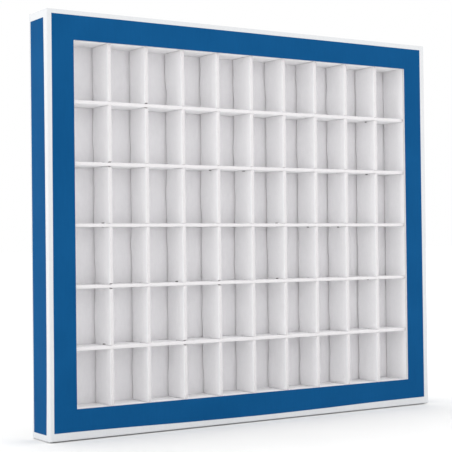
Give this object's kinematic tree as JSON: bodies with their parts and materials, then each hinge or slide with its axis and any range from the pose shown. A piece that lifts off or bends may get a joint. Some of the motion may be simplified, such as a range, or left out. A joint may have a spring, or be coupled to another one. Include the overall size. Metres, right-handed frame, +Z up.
{
  "type": "cryogenic storage box",
  "caption": "Shallow upright white board storage box with a grid of oblong cells behind a lift-off cover that has a wide window and a blue printed border.",
  "frame": {"origin": "under the middle of the box, on the surface that it stands on", "axes": "+X to the right along the width, +Y from the windowed front to the back panel, +Z up"},
  "size_m": [0.45, 0.038, 0.3906],
  "materials": {
    "cover_board": "smooth white coated board, matt",
    "base_board": "smooth white board, matt",
    "divider_board": "smooth white board, matt, with plain cut edges",
    "blue_print": "even blue print on coated paper, satin"
  },
  "bodies": {
    "base": {"back_panel": "base_board", "base_wall_left": "base_board", "base_wall_right": "base_board", "base_wall_top": "base_board", "base_wall_bottom": "base_board", "liner_wall_left": "base_board", "liner_wall_right": "base_board", "liner_wall_top": "base_board", "liner_wall_bottom": "base_board"},
    "cover": {"cover_front_board": "cover_board", "cover_skirt_left": "cover_board", "cover_skirt_right": "cover_board", "cover_skirt_top": "cover_board", "cover_skirt_bottom": "cover_board", "front_print": "blue_print", "print_left": "blue_print", "print_right": "blue_print", "print_top": "blue_print", "print_bottom": "blue_print"},
    "insert": {"column_divider_1": "divider_board", "column_divider_2": "divider_board", "column_divider_3": "divider_board", "column_divider_4": "divider_board", "column_divider_5": "divider_board", "column_divider_6": "divider_board", "column_divider_7": "divider_board", "column_divider_8": "divider_board", "column_divider_9": "divider_board"},
    "row_1": {"row_divider_1": "divider_board"},
    "row_2": {"row_divider_2": "divider_board"},
    "row_3": {"row_divider_3": "divider_board"},
    "row_4": {"row_divider_4": "divider_board"},
    "row_5": {"row_divider_5": "divider_board"}
  },
  "joints": [
    {"name": "cover_lift", "type": "slide", "parent": "base", "child": "cover", "axis": [0, -1, 0], "range_m": [0, 0.06]},
    {"name": "insert_lift", "type": "slide", "parent": "base", "child": "insert", "axis": [0, -1, 0], "range_m": [0, 0.06]},
    {"name": "row_1_pull", "type": "slide", "parent": "insert", "child": "row_1", "axis": [0, -1, 0], "range_m": [0, 0.04]},
    {"name": "row_2_pull", "type": "slide", "parent": "insert", "child": "row_2", "axis": [0, -1, 0], "range_m": [0, 0.04]},
    {"name": "row_3_pull", "type": "slide", "parent": "insert", "child": "row_3", "axis": [0, -1, 0], "range_m": [0, 0.04]},
    {"name": "row_4_pull", "type": "slide", "parent": "insert", "child": "row_4", "axis": [0, -1, 0], "range_m": [0, 0.04]},
    {"name": "row_5_pull", "type": "slide", "parent": "insert", "child": "row_5", "axis": [0, -1, 0], "range_m": [0, 0.04]}
  ]
}
